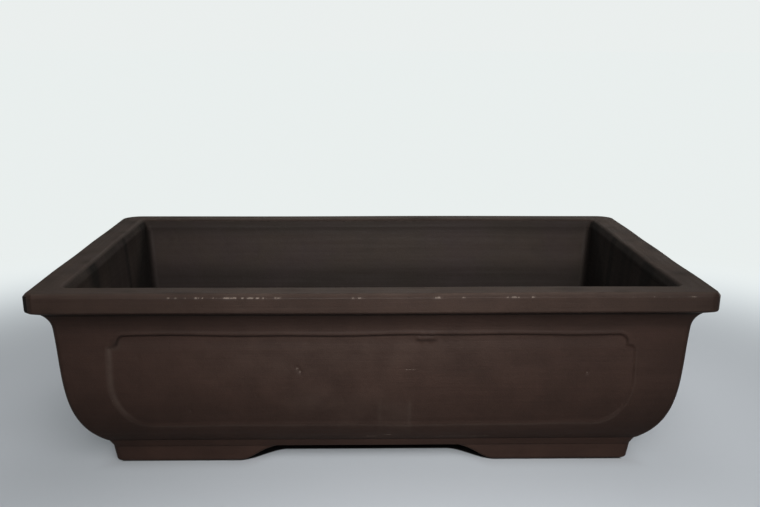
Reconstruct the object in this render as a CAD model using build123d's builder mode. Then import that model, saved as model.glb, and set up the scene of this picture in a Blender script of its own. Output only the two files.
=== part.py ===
"""Unglazed rectangular stoneware bonsai pot, slab-built from separate pieces of clay.

Frame: millimetres, +X along the length, +Y to the back, +Z up. The origin is on the ground
under the middle of the pot. A place on a section is (inset, z): inset is the distance in from
the rim's widest line, so that one section serves the long and the short sides.
"""
import os

from build123d import *

# --- overall size ---------------------------------------------------------------------------
LENGTH = 460.0
DEPTH = 320.0
HEIGHT = 133.5

# --- rim strip: places round its section ------------------------------------------------------
RIM_HEEL = (8.6, 117.6)     # underside, where the wall's cove meets it
RIM_UNDER = (2.0, 120.1)    # underside, outer end
RIM_FACE_FOOT = (0.5, 121.8)
RIM_WIDEST = (0.0, 130.7)
RIM_SHOULDER = (2.4, HEIGHT)
RIM_MOUTH_TOP = (20.2, HEIGHT)
RIM_MOUTH_EDGE = (21.4, 132.3)
RIM_SEAT = (24.4, 124.0)    # inner end of the joint between rim and wall
RIM_CORNER_RADIUS = 7.0     # plan radius at the widest line
MOUTH_CORNER_RADIUS = 5.0   # plan radius at the mouth's edge
LEAST_RADIUS = 1.5

# --- wall section: control points of the outer and inner curves -------------------------------
BELLY = ((15.2, 106.0), (19.3, 70.8), (16.2, 39.2), (40.7, 18.3))
LINING = (RIM_SEAT, (30.0, 66.0), (31.0, 40.0), (48.0, 28.3))
WALL_CORNER_RADIUS = 4.0
SEAM_CORNER_RADIUS = 6.0    # hollow face of the clay coil pressed into each upright inner corner
COIL_EDGE = 0.3         # how far that face would run into the walls
FLOOR_COIL = ((57.0, 28.8), (39.4, 37.4))   # ends of the floor coil's hollow face
FLOOR_COIL_HOLLOW = 1.6

# --- floor slab -----------------------------------------------------------------------------
WALL_FOOT = BELLY[3][1]     # level of the undersides of the walls and the floor
FLOOR_INSET, FLOOR_TOP = LINING[3]
DRAIN_RADIUS = 15.0
DRAIN_SPACING = 190.0
WIRE_HOLE_RADIUS = 3.0
WIRE_SPACING = (290.0, 120.0)

# --- sunk panel on each wall ------------------------------------------------------------------
PANEL_INSET = 50.5      # from the rim's widest line to the panel's upright edge
PANEL_TOP = 101.6
PANEL_BOTTOM = 33.7
PANEL_SUNK = 1.4
PANEL_NOTCH = 9.5       # radius of the scooped upper corners
PANEL_LOW_CORNER = (26.0, 34.0)     # half axes of the rounded lower corners

# --- base band and feet -----------------------------------------------------------------------
BAND_TOP = (41.4, WALL_FOOT)
BAND_FOOT = (45.0, 12.0)
FOOT_TOE = (47.3, 1.4)
FOOT_SOLE = (48.7, 0.0)
STRIP_INNER_INSET = 60.0    # inner face of the band and of the feet
BASE_CORNER_RADIUS = 5.0    # plan radius at the top of the feet
GAP_LONG = (91.0, 57.0)     # half width of the gap between feet: on the ground, under the band
GAP_SHORT = (50.0, 22.0)
GAP_EASE = (10.0, 19.0)     # handles of the gap's curve: at the ground, under the band

OVERREACH = 10.0        # how far cutting shapes run past what they cut
JOINT_REACH = 30.0      # inset to which the slope of the rim's joint is carried inward

SIDES = ("front", "back", "left", "right")
CORNERS = {"front_left": (-1, -1), "front_right": (1, -1), "back_left": (-1, 1), "back_right": (1, 1)}

os.makedirs("parts", exist_ok=True)


# --- shapes shared by several pieces ----------------------------------------------------------
def point(half, place):
    """A place (inset, z) on the section of a side that is half a width from the middle."""
    return (half - place[0], place[1])


def on_line(start, end, z):
    """The place at height z on the straight line through two places."""
    share = (z - start[1]) / (end[1] - start[1])
    return (start[0] + share * (end[0] - start[0]), z)


def section(plane, outline, half):
    """Symmetrical section on a plane, from an outline drawn from its middle outwards."""
    with BuildSketch(plane) as drawn:
        with BuildLine():
            outline(half)
            mirror(about=Plane.YZ)
        make_face()
    return drawn


def crossed(outline, wider=0):
    """Block with the same section seen from the front and from the side, mitred at the corners."""
    seen_from_side = section(Plane.YZ, outline, DEPTH / 2 + wider)
    seen_from_front = section(Plane.XZ, outline, LENGTH / 2 + wider)
    with BuildPart() as block:
        extrude(seen_from_side.sketch, amount=LENGTH / 2 + OVERREACH, both=True)
        extrude(seen_from_front.sketch, amount=DEPTH / 2 + OVERREACH, both=True, mode=Mode.INTERSECT)
    return block


def mitre_edges(block):
    """Edges that run along the four mitred corners of a crossed block."""
    level = block.edges().filter_by(Axis.X) + block.edges().filter_by(Axis.Y)
    return block.edges() - level


def stacked(places, radius, radius_inset):
    """Block through rounded rectangles, whose corners share their centres where they can.

    The plan radius is the given one at radius_inset, and less further in.
    """
    with BuildPart() as block:
        for inset, z in places:
            with BuildSketch(Plane.XY.offset(z)):
                corner = max(radius + radius_inset - inset, LEAST_RADIUS)
                RectangleRounded(LENGTH - 2 * inset, DEPTH - 2 * inset, corner)
        loft(ruled=True)
    return block


def side_prism(side):
    """Block over one side of the pot, cut at 45 degrees through the pot's corners."""
    reach_x, reach_y = LENGTH / 2 + OVERREACH, DEPTH / 2 + OVERREACH
    ridge = reach_x - reach_y
    corners = {
        "front": [(-reach_x, -reach_y), (reach_x, -reach_y), (ridge, 0), (-ridge, 0)],
        "back": [(-reach_x, reach_y), (-ridge, 0), (ridge, 0), (reach_x, reach_y)],
        "left": [(-reach_x, -reach_y), (-ridge, 0), (-reach_x, reach_y)],
        "right": [(reach_x, -reach_y), (reach_x, reach_y), (ridge, 0)],
    }
    with BuildPart() as prism:
        with BuildSketch():
            with BuildLine():
                Polyline(*corners[side], close=True)
            make_face()
        extrude(amount=HEIGHT + OVERREACH, both=True)
    return prism


def corner_prism(corner):
    """Block over one quarter of the pot."""
    toward_x, toward_y = CORNERS[corner]
    with BuildPart() as prism:
        with BuildSketch():
            with Locations((toward_x * LENGTH / 2, toward_y * DEPTH / 2)):
                Rectangle(LENGTH, DEPTH)
        extrude(amount=HEIGHT + OVERREACH, both=True)
    return prism


def write(ring, prism, name):
    """Write the stretch of a ring of clay that lies inside a prism."""
    with BuildPart() as piece:
        add(ring.part)
        add(prism.part, mode=Mode.INTERSECT)
    finish(piece, name)


def finish(piece, name):
    """Label a finished piece and write it."""
    piece.part.label = name
    export_step(piece.part, f"parts/{name}.step")


# --- outlines, each drawn from the middle of the pot outwards ---------------------------------
def joint_outline(half):
    """Everything under the sloping joint on which the rim strips sit."""
    outer = on_line(RIM_SEAT, RIM_HEEL, RIM_HEEL[1] - OVERREACH)
    slope = (RIM_SEAT[1] - RIM_HEEL[1]) / (RIM_SEAT[0] - RIM_HEEL[0])
    inner = (JOINT_REACH, RIM_SEAT[1] + slope * (JOINT_REACH - RIM_SEAT[0]))
    Polyline(
        (0, -OVERREACH),
        (half - outer[0], -OVERREACH),
        point(half, outer),
        point(half, inner),
        (0, inner[1]),
    )


def wall_outline(half):
    """Outer face of a wall: foot, belly, cove, and a straight run past the rim's joint."""
    Line((0, WALL_FOOT), point(half, BELLY[3]))
    belly = Bezier(*[point(half, place) for place in reversed(BELLY)])
    cove = TangentArc(belly @ 1, point(half, RIM_HEEL), tangent=belly % 1)
    past = Line(cove @ 1, (cove @ 1) + (cove % 1) * (1.5 * OVERREACH))
    Line(past @ 1, (0, (past @ 1).Y))


def lining_outline(half):
    """Space between the walls above the floor slab, up to the rim's joint."""
    Line((0, FLOOR_TOP), point(half, LINING[3]))
    Bezier(*[point(half, place) for place in reversed(LINING)])
    Line(point(half, RIM_SEAT), (0, RIM_SEAT[1]))


def cavity_outline(half):
    """The same space, carried up past the rim's joint."""
    past = on_line(LINING[1], LINING[0], RIM_SEAT[1] + OVERREACH / 2)
    Line((0, FLOOR_TOP), point(half, LINING[3]))
    Bezier(*[point(half, place) for place in reversed(LINING)])
    Polyline(point(half, RIM_SEAT), point(half, past), (0, past[1]))


def above_coil_outline(half):
    """Everything above the coil that eases the corner between walls and floor."""
    toe, heel = FLOOR_COIL
    middle = ((toe[0] + heel[0]) / 2, (toe[1] + heel[1]) / 2 - FLOOR_COIL_HOLLOW)
    Polyline((0, FLOOR_TOP - OVERREACH), (half - toe[0], FLOOR_TOP - OVERREACH), point(half, toe))
    ThreePointArc(point(half, toe), point(half, middle), point(half, heel))
    Polyline(
        point(half, heel),
        (half + OVERREACH, heel[1]),
        (half + OVERREACH, HEIGHT),
        (0, HEIGHT),
    )


def panel_outline(half):
    """Sunk panel: scooped upper corners and large rounded lower corners."""
    side = half - PANEL_INSET
    wide, tall = PANEL_LOW_CORNER
    Line((0, PANEL_TOP), (side - PANEL_NOTCH, PANEL_TOP))
    CenterArc((side, PANEL_TOP), PANEL_NOTCH, 180, 90)
    Line((side, PANEL_TOP - PANEL_NOTCH), (side, PANEL_BOTTOM + tall))
    EllipticalCenterArc((side - wide, PANEL_BOTTOM + tall), wide, tall, start_angle=270, arc_size=90)
    Line((side - wide, PANEL_BOTTOM), (0, PANEL_BOTTOM))


def gap_outline(gap):
    """Gap between two feet, closed by an ogee curve at each end."""
    low, high = gap
    top = BAND_FOOT[1]
    Line((0, 0), (low, 0))
    Bezier((low, 0), (low - GAP_EASE[0], 0), (high + GAP_EASE[1], top), (high, top))
    Line((high, top), (0, top))


# --- rim strips -------------------------------------------------------------------------------
def make_rim(under_joint):
    below_heel = on_line(RIM_UNDER, RIM_HEEL, RIM_HEEL[1] - OVERREACH / 4)
    outside = stacked(
        [below_heel, RIM_UNDER, RIM_FACE_FOOT, RIM_WIDEST, RIM_SHOULDER], RIM_CORNER_RADIUS, RIM_WIDEST[0]
    )
    below_seat = on_line(RIM_SEAT, RIM_MOUTH_EDGE, RIM_SEAT[1] - OVERREACH / 4)
    above_mouth = on_line(RIM_MOUTH_EDGE, RIM_MOUTH_TOP, HEIGHT + 1)
    mouth = stacked([below_seat, RIM_MOUTH_EDGE, above_mouth], MOUTH_CORNER_RADIUS, RIM_MOUTH_EDGE[0])
    with BuildPart() as ring:
        add(outside.part)
        add(under_joint.part, mode=Mode.SUBTRACT)
        add(mouth.part, mode=Mode.SUBTRACT)
    for side in SIDES:
        write(ring, side_prism(side), f"{side}_rim_strip")


# --- walls ------------------------------------------------------------------------------------
def panel_pair(face_plane, section_plane, half_width, half_span):
    """Layer that sinks the panels into two opposite walls, half_span from the middle."""
    skin_section = section(section_plane, wall_outline, half_span - PANEL_SUNK)
    panel_section = section(face_plane, panel_outline, half_width)
    with BuildPart() as layer:
        extrude(panel_section.sketch, amount=half_span, both=True)
        extrude(skin_section.sketch, amount=half_width, both=True, mode=Mode.SUBTRACT)
    return layer


def make_walls(under_joint):
    outside = crossed(wall_outline)
    cavity = crossed(cavity_outline)
    long_panels = panel_pair(Plane.XZ, Plane.YZ, LENGTH / 2, DEPTH / 2)
    short_panels = panel_pair(Plane.YZ, Plane.XZ, DEPTH / 2, LENGTH / 2)
    with BuildPart() as ring:
        add(outside.part)
        fillet(mitre_edges(ring), radius=WALL_CORNER_RADIUS)
        add(under_joint.part, mode=Mode.INTERSECT)
        add(cavity.part, mode=Mode.SUBTRACT)
        with BuildSketch(Plane.XY.offset(WALL_FOOT - OVERREACH)):
            Rectangle(LENGTH - 2 * FLOOR_INSET, DEPTH - 2 * FLOOR_INSET)
        extrude(amount=FLOOR_TOP - WALL_FOOT + OVERREACH, mode=Mode.SUBTRACT)
        add(long_panels.part, mode=Mode.SUBTRACT)
        add(short_panels.part, mode=Mode.SUBTRACT)
    for side in SIDES:
        write(ring, side_prism(side), f"{side}_wall")


# --- floor slab -------------------------------------------------------------------------------
def make_floor():
    with BuildPart() as floor_slab:
        with BuildSketch(Plane.XY.offset(WALL_FOOT)):
            Rectangle(LENGTH - 2 * FLOOR_INSET, DEPTH - 2 * FLOOR_INSET)
        extrude(amount=FLOOR_TOP - WALL_FOOT)
        with Locations((0, 0, FLOOR_TOP)):
            with GridLocations(DRAIN_SPACING, 0, 2, 1):
                Hole(DRAIN_RADIUS)
            with GridLocations(*WIRE_SPACING, 2, 2):
                Hole(WIRE_HOLE_RADIUS)
    finish(floor_slab, "floor_slab")


# --- coils of clay pressed into the inner joints ------------------------------------------------
def make_seams():
    lining = crossed(lining_outline)
    above_coil = crossed(above_coil_outline)
    with BuildPart() as floor_coils:
        add(lining.part)
        add(above_coil.part, mode=Mode.SUBTRACT)
    for side in SIDES:
        write(floor_coils, side_prism(side), f"{side}_floor_seam")
    room = crossed(cavity_outline, COIL_EDGE)
    with BuildPart() as rounded_room:
        add(room.part)
        fillet(mitre_edges(rounded_room), radius=SEAM_CORNER_RADIUS)
    with BuildPart() as upright_coils:
        add(lining.part)
        add(above_coil.part, mode=Mode.INTERSECT)
        add(rounded_room.part, mode=Mode.SUBTRACT)
    for corner in CORNERS:
        write(upright_coils, corner_prism(corner), f"{corner}_corner_seam")


# --- base band and feet -------------------------------------------------------------------------
def base_ring(places):
    """Ring of clay under the walls, with rounded outer corners and open in the middle."""
    outside = stacked(places, BASE_CORNER_RADIUS, BAND_FOOT[0])
    with BuildPart() as ring:
        add(outside.part)
        with BuildSketch():
            Rectangle(LENGTH - 2 * STRIP_INNER_INSET, DEPTH - 2 * STRIP_INNER_INSET)
        extrude(amount=WALL_FOOT + OVERREACH, both=True, mode=Mode.SUBTRACT)
    return ring


def make_base():
    band = base_ring([BAND_FOOT, BAND_TOP])
    for side in SIDES:
        write(band, side_prism(side), f"{side}_base_band")
    foot_ring = base_ring([FOOT_SOLE, FOOT_TOE, BAND_FOOT])
    long_gap = section(Plane.XZ, gap_outline, GAP_LONG)
    short_gap = section(Plane.YZ, gap_outline, GAP_SHORT)
    with BuildPart() as feet:
        add(foot_ring.part)
        extrude(long_gap.sketch, amount=DEPTH / 2, both=True, mode=Mode.SUBTRACT)
        extrude(short_gap.sketch, amount=LENGTH / 2, both=True, mode=Mode.SUBTRACT)
    for corner in CORNERS:
        write(feet, corner_prism(corner), f"{corner}_foot")


# --- the whole pot ------------------------------------------------------------------------------
under_joint = crossed(joint_outline)
make_rim(under_joint)
make_walls(under_joint)
make_floor()
make_seams()
make_base()
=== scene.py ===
"""Looks of a rectangular unglazed stoneware bonsai pot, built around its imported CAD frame.

Lengths are in millimetres until a mesh is made; Blender's own unit is the metre. A place on a
section is (inset, z): inset is the distance in from the rim's widest line.
"""
from math import atan2, cos, pi, radians, sin, sqrt

import bpy
import numpy as np
from mathutils import Matrix, Vector


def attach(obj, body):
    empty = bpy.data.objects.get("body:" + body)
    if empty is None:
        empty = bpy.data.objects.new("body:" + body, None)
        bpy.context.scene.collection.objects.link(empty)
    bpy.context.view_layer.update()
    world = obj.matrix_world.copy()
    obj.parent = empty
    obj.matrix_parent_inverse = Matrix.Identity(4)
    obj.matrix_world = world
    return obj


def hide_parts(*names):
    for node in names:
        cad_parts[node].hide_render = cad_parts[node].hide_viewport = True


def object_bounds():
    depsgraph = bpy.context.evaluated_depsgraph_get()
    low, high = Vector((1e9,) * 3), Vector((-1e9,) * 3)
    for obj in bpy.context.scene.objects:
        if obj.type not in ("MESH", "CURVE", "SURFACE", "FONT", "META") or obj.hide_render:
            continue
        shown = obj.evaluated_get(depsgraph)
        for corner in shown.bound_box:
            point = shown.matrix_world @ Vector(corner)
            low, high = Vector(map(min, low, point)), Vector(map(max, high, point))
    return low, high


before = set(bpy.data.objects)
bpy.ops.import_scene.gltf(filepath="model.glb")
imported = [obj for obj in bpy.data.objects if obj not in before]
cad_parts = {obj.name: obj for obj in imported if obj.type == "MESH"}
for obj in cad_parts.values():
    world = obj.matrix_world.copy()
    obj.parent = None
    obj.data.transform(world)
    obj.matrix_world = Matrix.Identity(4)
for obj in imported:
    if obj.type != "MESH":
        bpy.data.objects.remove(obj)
cad_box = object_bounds()

MM = 0.001
SIDES = ("front", "right", "back", "left")

# --- sizes, from the frame and the part's own driving dimensions ----------------------------------
LENGTH, DEPTH, HEIGHT = (cad_box[1] - cad_box[0]) / MM

# places round the rim strip's section, and its corners' radii in plan
RIM_HEEL = (8.6, 117.6)
RIM_UNDER = (1.2, 120.1)
RIM_FACE_FOOT = (0.4, 121.0)
RIM_WIDEST = (0.0, 130.7)
RIM_SHOULDER = (2.4, HEIGHT)
RIM_MOUTH = (21.2, HEIGHT)
MOUTH_FOOT = (24.15, 127.2)
RIM_SEAT = (24.4, 124.0)
RIM_RADIUS, MOUTH_RADIUS = 7.0, 5.0
MOUTH_BEND, MOUTH_FOOT_BEND = 4.0, 7.0      # radii of the mouth's edge, and of its ease into the lining

# control points of the wall's outer and inner curves, and radii in plan
BELLY = ((15.2, 106.0), (19.3, 70.8), (16.2, 39.2), (40.7, 18.3))
LINING = (RIM_SEAT, (30.0, 66.0), (31.0, 40.0), (48.0, 28.3))
WALL_FOOT = BELLY[3][1]
FLOOR_INSET, FLOOR_TOP = LINING[3]
WALL_RADIUS, SHARP = 4.0, 0.4

# ends of the floor coil's hollow face
FLOOR_COIL = ((57.0, 28.9), (39.4, 37.4))
FLOOR_COIL_HOLLOW = 1.6
CORNER_COIL_RADIUS = 6.0
CORNER_COIL_ENDS = (30.5, 124.3)    # its foot and its top, z
COIL_TUCK = 0.4         # how far a coil is sunk into what it joins

PANEL_INSET, PANEL_TOP, PANEL_BOTTOM = 50.5, 101.6, 33.7
PANEL_SUNK = 1.4
PANEL_LOW_CORNER = (26.0, 34.0)
# the panel's notched upper corners, left and right: step in, step down, radius above, radius
# below, and how much the nook between the two is filled
PANEL_NOTCHES = ((7.0, 8.0, 5.0, 2.0, 6.0), (5.3, 7.9, 6.5, 4.5, 1.0))
PANEL_RIGHT_SHY = 1.6       # how much nearer the middle the right edge was cut

BAND_TOP = (41.4, WALL_FOOT)
BAND_FOOT = (45.0, 12.0)
FOOT_TOE = (46.7, 1.4)
FOOT_ROUND = 2.2        # radius of a foot's worn lower edge
STRIP_INNER_INSET = 60.0
BASE_RADIUS = 5.0
# control points of a gap's end curve, from the ground to the band: distance from the middle, z
GAP_LONG = ((91.0, 0.0), (81.0, 0.0), (76.0, 12.0), (57.0, 12.0))
GAP_SHORT = ((50.0, 0.0), (40.0, 0.0), (41.0, 12.0), (22.0, 12.0))
FRONT_GAP_SHIFT = -4.0      # the front gap was cut a little left of the middle
GAP_THINNEST = 0.15         # how thin a foot's end is where the gap's curve meets the band
CORNER_WAY = 0.8            # how far the clay's pattern runs on at each column round a foot's corner

# holes in the floor: x, y, radius
DRAIN_HOLES = [(x, 0.0, 15.0) for x in (-95.0, 95.0)]
WIRE_HOLES = [(x, y, 3.0) for x in (-145.0, 145.0) for y in (-60.0, 60.0)]
HOLE_FLARE = 1.6            # how far a hole's edges are eased

# --- how finely the clay is drawn -----------------------------------------------------------------
# between places round a section: outside and on the lining, on walls, on the rim, and on the rest
FINE, COARSE = 0.95, 2.2
RIM_FINE, RIM_COARSE = 0.75, 1.2
COIL_SPACING = 1.2
RIM_SPACING, BASE_SPACING = 0.8, 2.0    # between columns along the rim, and along the base
ARC_STEPS = 8                   # columns round half a corner
CREASE_ANGLE = radians(42)      # edges sharper than this aren't shaded smooth


# --- curves ---------------------------------------------------------------------------------------
def bezier(controls, count):
    """Points on a cubic curve, ends included."""
    t = np.linspace(0, 1, count)[:, None]
    a, b, c, d = np.array(controls, float)
    return (1 - t) ** 3 * a + 3 * (1 - t) ** 2 * t * b + 3 * (1 - t) * t**2 * c + t**3 * d


def smooth(low, high, value):
    """0 below low, 1 above high, smooth between."""
    t = np.clip((value - low) / (high - low), 0, 1)
    return t * t * (3 - 2 * t)


def bump(distance, width):
    """1 at no distance, fading smoothly to 0 over the width."""
    return np.exp(-((distance / width) ** 2))


def cove():
    """The hollow curve from the wall's neck out to the rim's heel: an arc tangent to the belly."""
    start, heel = np.array(BELLY[0]), np.array(RIM_HEEL)
    along = start - np.array(BELLY[1])
    along /= np.linalg.norm(along)
    across = np.array([-along[1], along[0]])
    chord = heel - start
    radius = chord @ chord / (2 * (chord @ across))
    centre = start + across * radius
    first, last = (atan2(*(end - centre)[::-1]) for end in (start, heel))
    angles = np.linspace(first, last, 16)
    return centre + abs(radius) * np.column_stack([np.cos(angles), np.sin(angles)])


def inset_at(z, curve):
    """Inset of a curve, given as rows of (inset, z), at a height."""
    order = np.argsort(curve[:, 1])
    return np.interp(z, curve[order, 1], curve[order, 0])


class Section:
    """A closed outline of (inset, z) places, each with its corner radius in plan and its wear.

    inner is 1 on the lining, where the mesh is coarser and the clay has another skin.
    """

    def __init__(self):
        self.rows = []

    def add(self, places, radius, wear=0.0, inner=0.0):
        for inset, z in np.atleast_2d(np.array(places, float)):
            self.rows.append((inset, z, radius, wear, inner))
        return self

    def corner(self, before, at, after, bend, radius, wear=0.0, inner=0.0, steps=5):
        """An edge rounded by an arc of radius bend."""
        p, q, r = (np.array(v, float) for v in (before, at, after))
        u, v = (p - q) / np.linalg.norm(p - q), (r - q) / np.linalg.norm(r - q)
        half = np.arccos(np.clip(u @ v, -1, 1)) / 2
        centre = q + (u + v) / np.linalg.norm(u + v) * bend / np.sin(half)
        start, end = (q + w * bend / np.tan(half) - centre for w in (u, v))
        for k in np.linspace(0, 1, steps):
            spoke = start * (1 - k) + end * k
            self.add(centre + spoke / np.linalg.norm(spoke) * bend, radius, wear, inner)
        return self

    def closed(self, fine=FINE, coarse=COARSE):
        """Fills in the sides, and measures the way round."""
        rows = np.array(self.rows + self.rows[:1])
        out = []
        for a, b in zip(rows[:-1], rows[1:]):
            span = np.hypot(*(b - a)[:2])
            if span < 1e-4:
                continue
            hidden = min(a[4], b[4]) > 0
            count = max(1, int(np.ceil(span / (coarse if hidden else fine))))
            out += [a * (1 - k / count) + b * (k / count) for k in range(count)]
        self.inset, self.z, self.radius, self.wear, self.inner = np.array(out).T
        steps = np.hypot(np.diff(self.inset), np.diff(self.z))
        self.way = np.concatenate([[0], np.cumsum(steps)])
        return self


# --- the hand-made unevenness that all pieces share -----------------------------------------------
rng = np.random.default_rng(46)
WAVES = [(rng.normal(size=3), rng.uniform(0, 2 * pi, 3), span) for span in (310, 240, 170, 120, 90)]
WAVE_HEIGHT = 0.11


def uneven(points):
    """Slow drift of the clay from its true shape, so that joined pieces stay joined."""
    drift = np.zeros_like(points)
    for direction, phase, span in WAVES:
        turn = points @ (direction / np.linalg.norm(direction)) * 2 * pi / span
        drift += np.sin(turn[:, None] + phase) * WAVE_HEIGHT * sqrt(span / 200)
    drift[:, 2] *= smooth(0, 30, points[:, 2])
    return points + drift


# --- meshes ---------------------------------------------------------------------------------------
# numbers kept for each point, which the clay's material reads
MARKS = ("clay_place", "wear", "dust_and_highlight", "stain_and_shade", "inner")


def make_object(name, points, faces, marks):
    """Mesh object in metres, with its marks."""
    mesh = bpy.data.meshes.new(name)
    mesh.from_pydata((uneven(points) * MM).tolist(), [], faces)
    mesh.validate()
    for mark, values in marks.items():
        kind = "FLOAT_VECTOR" if values.ndim == 2 else "FLOAT"
        layer = mesh.attributes.new(mark, kind, "POINT")
        field = "vector" if values.ndim == 2 else "value"
        layer.data.foreach_set(field, values.astype(np.float32).ravel())
    piece = bpy.data.objects.new(name, mesh)
    bpy.context.scene.collection.objects.link(piece)
    mesh.shade_smooth()
    mesh.set_sharp_from_angle(angle=CREASE_ANGLE)
    return piece


def swept(name, columns, marks):
    """Joins rings of points, one ring per column, into a solid closed at both ends."""
    rings, rows = len(columns), len(columns[0])
    here = np.arange(rings * rows).reshape(rings, rows)
    ahead = np.roll(here, -1, axis=1)
    quads = np.stack([here[:-1], here[1:], ahead[1:], ahead[:-1]], axis=-1).reshape(-1, 4)
    points = np.concatenate(columns)
    faces = quads.tolist() + [here[0].tolist(), here[-1][::-1].tolist()]
    a, b, c, d = (points[quads[:, k]] for k in range(4))
    volume = np.sum(a * (np.cross(b, c) + np.cross(c, d)))
    if volume < 0:
        faces = [face[::-1] for face in faces]
    joined = {mark: np.concatenate(values) for mark, values in marks.items()}
    return make_object(name, points, faces, joined)


def side_axes(side):
    """Along-axis (left to right seen from outside), outward axis, and half sizes along and out."""
    turn = SIDES.index(side) * pi / 2
    along = np.array([round(cos(turn)), round(sin(turn)), 0.0])
    outward = np.array([round(sin(turn)), -round(cos(turn)), 0.0])
    halves = (LENGTH / 2, DEPTH / 2) if side in ("front", "back") else (DEPTH / 2, LENGTH / 2)
    return along, outward, halves


def stations(span, spacing):
    """Columns of a side from its left mitre to its right one: (which end's corner, place there)."""
    count = int(np.ceil(span / spacing))
    left = [(-1, 1 - k / ARC_STEPS) for k in range(ARC_STEPS)]
    right = [(1, (k + 1) / ARC_STEPS) for k in range(ARC_STEPS)]
    return left + [(0, k) for k in np.linspace(-1, 1, count)] + right


def on_side(end, place, halves, inset, radius, corners):
    """Along and outward distances of a section's points at one column.

    corners are, for the left and the right corner, how much wider than drawn its arc is, and how
    far that arc is cut down towards its chord.
    """
    a, o = halves[0] - inset, halves[1] - inset
    radii = [np.where(inset < RIM_HEEL[0] - 1, radius + wider, radius) for wider, _ in corners]
    if end == 0:
        return (place - 1) / 2 * (a - radii[0]) + (place + 1) / 2 * (a - radii[1]), o
    radius, cut = (radii[0], corners[0][1]) if end < 0 else (radii[1], corners[1][1])
    angle = place * pi / 4
    over = np.sin(angle) * (1 - cut) + place / 2 * cut
    drop = (1 - np.cos(angle)) * (1 - cut) + place / 2 * cut
    return end * (a - radius + radius * over), o - radius * drop


TRUE_CORNERS = ((0.0, 0.0), (0.0, 0.0))


def side_strip(name, side, section, spacing=FINE, shape=None, corners=TRUE_CORNERS, streaked=0.0):
    """Sweeps a section along one side of the pot, from mitre to mitre.

    shape gives, for the points of one column, how far they are sunk, and their wear, dust and stain,
    where the wear and dust also carry painted highlights and sheen and the stain also carries painted
    shade and shadows. streaked is how strongly the lining shows pale runs.
    """
    along, outward, halves = side_axes(side)
    columns, marks = [], {mark: [] for mark in MARKS + ("streaked",)}
    for end, place in stations(2 * halves[0], spacing):
        t, o = on_side(end, place, halves, section.inset, section.radius, corners)
        sunk, worn_and_highlit, dusty_and_highlit, stain_and_shade = shape(t, section) if shape else (0, 0, 0, 0)
        spot = np.outer(t, along) + np.outer(o - sunk, outward)
        spot[:, 2] = section.z
        columns.append(spot)
        away = np.full_like(t, SIDES.index(side) * 0.7)
        marks["clay_place"].append(np.column_stack([t * MM, section.way * MM, away]))
        marks["wear"].append(np.clip(section.wear + worn_and_highlit, 0, 1))
        marks["dust_and_highlight"].append(np.clip(dusty_and_highlit + 0 * t, 0, 1))
        marks["stain_and_shade"].append(np.clip(stain_and_shade + 0 * t, 0, 1))
        marks["inner"].append(section.inner)
        marks["streaked"].append(section.inner * streaked)
    return swept(name, columns, marks)


# --- sections -------------------------------------------------------------------------------------
def rim_section():
    """The rim strip: its seat on the wall, heel, bevelled face, flat top and rounded mouth."""
    section = Section()
    section.add(RIM_SEAT, CORNER_COIL_RADIUS, 0, 1)
    section.add(RIM_HEEL, WALL_RADIUS)
    section.corner(RIM_HEEL, RIM_UNDER, RIM_FACE_FOOT, 0.4, RIM_RADIUS - 1.5, 0.1)
    section.corner(RIM_UNDER, RIM_FACE_FOOT, RIM_WIDEST, 0.4, RIM_RADIUS, 0.15)
    section.corner(RIM_FACE_FOOT, RIM_WIDEST, RIM_SHOULDER, 0.6, RIM_RADIUS, 0.2)
    section.corner(RIM_WIDEST, RIM_SHOULDER, RIM_MOUTH, 1.3, RIM_RADIUS - 2, 0.35, steps=7)
    section.corner(RIM_SHOULDER, RIM_MOUTH, MOUTH_FOOT, MOUTH_BEND, MOUTH_RADIUS, 0.2, steps=10)
    ease_radius = CORNER_COIL_RADIUS - 0.5
    section.corner(RIM_MOUTH, MOUTH_FOOT, RIM_SEAT, MOUTH_FOOT_BEND, ease_radius, 0, 1, steps=7)
    section.closed(RIM_FINE, RIM_COARSE)
    # the lining's skin sets in over the mouth's edge
    section.inner = np.maximum(section.inner, smooth(21.0, 22.6, section.inset))
    return section


def wall_section():
    """A wall slab: belly, neck and cove outside, and the lining inside."""
    section = Section()
    section.add(BELLY[3], WALL_RADIUS, 0.1)
    section.add(bezier(BELLY[::-1], 110)[1:-1], WALL_RADIUS)
    section.add(cove(), WALL_RADIUS)
    section.add(RIM_SEAT, SHARP, 0, 1)
    section.add(bezier(LINING, 40)[2:], SHARP, 0, 1)
    section.add((FLOOR_INSET, WALL_FOOT), SHARP, 0, 1)
    return section.closed()


def band_section():
    """The base band, whose outer face leans in towards its foot."""
    under = (STRIP_INNER_INSET, BAND_FOOT[1])
    over = (STRIP_INNER_INSET, WALL_FOOT)
    section = Section()
    section.corner(over, BAND_TOP, BAND_FOOT, 0.5, BASE_RADIUS, 0.15, steps=4)
    section.corner(BAND_TOP, BAND_FOOT, under, 0.4, BASE_RADIUS, 0.15, steps=4)
    section.add(under, SHARP, 0.1)
    section.add(over, SHARP)
    return section.closed(COIL_SPACING)


def floor_coil_section():
    """The coil pressed into the corner of floor and wall, hollowed by a finger."""
    toe, top = (np.array(end) for end in FLOOR_COIL)
    along = (top - toe) / np.linalg.norm(top - toe)
    across = np.array([along[1], -along[0]])
    t = np.linspace(0, 1, 14)
    hollow = toe + np.outer(t, top - toe) + np.outer(FLOOR_COIL_HOLLOW * np.sin(pi * t), across)
    section = Section()
    section.add((toe[0], FLOOR_TOP), SHARP, 0, 1)
    section.add(hollow, SHARP, 0, 1)
    section.add((top[0] - COIL_TUCK, top[1]), SHARP, 0, 1)
    section.add((FLOOR_INSET, FLOOR_TOP), SHARP, 0, 1)
    return section.closed(COIL_SPACING, COIL_SPACING)


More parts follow.
